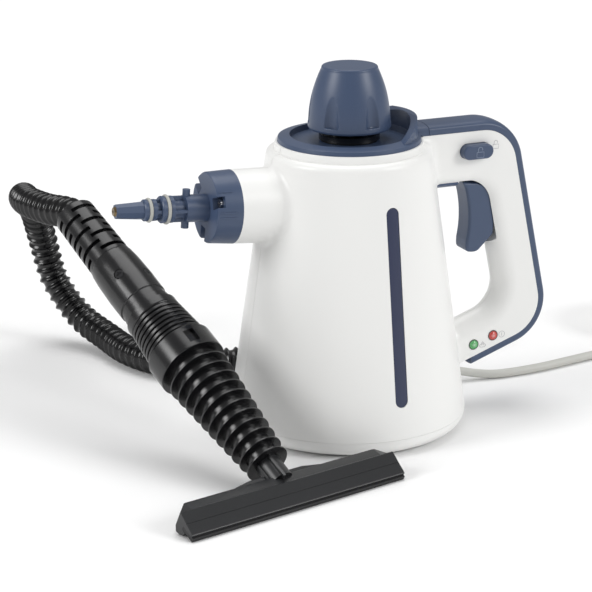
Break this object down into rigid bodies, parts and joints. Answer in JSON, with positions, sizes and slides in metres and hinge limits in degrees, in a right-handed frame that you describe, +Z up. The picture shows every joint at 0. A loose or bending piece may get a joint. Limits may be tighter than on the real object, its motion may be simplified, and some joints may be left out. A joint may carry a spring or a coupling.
{
  "type": "handheld steam cleaner",
  "caption": "Handheld steam cleaner with a tapered round body, loop handle with trigger and lock button, screw filler cap, short nozzle, mains cord and a hose with a window squeegee.",
  "frame": {"origin": "centre of the round base on the floor, under the body's axis", "axes": "+Z up along the body's axis, +X towards the handle, -X along the nozzle, -Y the side with the lamps"},
  "size_m": [0.676, 0.454, 0.2681],
  "materials": {
    "white_plastic": "satin white ABS moulding",
    "slate_plastic": "satin slate-blue moulding",
    "navy_inlay": "glossy navy inlay",
    "black_plastic": "satin black moulding",
    "black_rubber": "matt black rubber",
    "pale_rubber": "matt grey rubber",
    "cord_sheath": "pale grey flexible sheath",
    "steel": "bright plated steel",
    "brass": "turned brass",
    "cast_alloy": "die-cast aluminium",
    "circuit_board": "green laminate",
    "red_lamp": "translucent red lens",
    "green_lamp": "translucent green lens"
  },
  "bodies": {
    "housing": {"front_shell": "white_plastic", "rear_shell": "white_plastic", "base_plate": "white_plastic", "rubber_feet": "pale_rubber", "base_screws": "steel", "housing_screws": "steel", "top_ring": "slate_plastic", "handle_strip": "slate_plastic", "arm_insert": "slate_plastic", "front_inlay": "navy_inlay", "rear_inlay": "navy_inlay", "nozzle_collar": "slate_plastic", "collar_screws": "steel", "nozzle_stem": "slate_plastic", "front_o_ring": "pale_rubber", "rear_o_ring": "pale_rubber", "jet_tip": "brass", "boiler_cup": "cast_alloy", "boiler_lid": "cast_alloy", "boiler_gasket": "pale_rubber", "boiler_bolts": "steel", "heating_element": "steel", "thermostat": "black_plastic", "thermal_fuse": "cast_alloy", "valve_body": "brass", "valve_spring": "steel", "steam_pipe": "black_rubber", "terminal_block": "white_plastic", "lamp_board": "circuit_board", "red_lens": "red_lamp", "green_lens": "green_lamp", "trigger_pin": "steel", "trigger_spring": "steel", "cord_gland": "black_rubber", "cord": "cord_sheath", "cord_coil": "cord_sheath", "coil_tie": "black_plastic", "plug_body": "cord_sheath", "plug_pins": "steel"},
    "trigger": {"trigger": "slate_plastic"},
    "lock_button": {"lock_button": "slate_plastic"},
    "valve_plunger": {"valve_plunger": "steel"},
    "cap_seal": {"cap_seal": "black_rubber"},
    "cap_plug": {"cap_plug": "black_plastic", "cap_spring": "steel"},
    "cap_knob": {"cap_knob": "slate_plastic"},
    "hose_set": {"squeegee_blade": "black_rubber", "squeegee_bar": "black_plastic", "finned_nozzle": "black_plastic", "hose_connector": "black_plastic", "connector_screws": "steel", "hose_sleeve": "black_plastic", "hose": "black_plastic", "hose_end_sleeve": "black_plastic", "hose_end_connector": "black_plastic"}
  },
  "joints": [
    {"name": "trigger_pull", "type": "hinge", "parent": "housing", "child": "trigger", "pos_m": [0.097, 0, 0.18], "axis": [0, -1, 0], "range_deg": [0, 8], "stiffness_Nm_per_rad": 1.2, "springref_deg": -14.32},
    {"name": "valve_slide", "type": "slide", "parent": "housing", "child": "valve_plunger", "axis": [-1, 0, 0], "range_m": [0, 0.0013]},
    {"name": "lock_push", "type": "slide", "parent": "housing", "child": "lock_button", "axis": [0, 1, 0], "range_m": [0, 0.0055]},
    {"name": "cap_rise", "type": "slide", "parent": "housing", "child": "cap_seal", "axis": [0, 0, 1], "range_m": [0, 0.012]},
    {"name": "cap_turn", "type": "hinge", "parent": "cap_seal", "child": "cap_plug", "pos_m": [0, 0, 0.215], "axis": [0, 0, 1], "range_deg": [0, 1080]},
    {"name": "cap_press", "type": "slide", "parent": "cap_plug", "child": "cap_knob", "axis": [0, 0, -1], "range_m": [0, 0.0025], "stiffness_N_per_m": 900, "springref_m": -0.003, "deforming": ["cap_spring"]},
    {"name": "hose_set_slide", "type": "slide", "parent": "housing", "child": "hose_set", "axis": [-1, 0, 0], "range_m": [0, 0.15]}
  ],
  "couplings": [
    {"joint": "valve_slide", "follows": "trigger_pull", "m_per_rad": 0.0086},
    {"joint": "cap_rise", "follows": "cap_turn", "m_per_rad": 0.00063662}
  ]
}
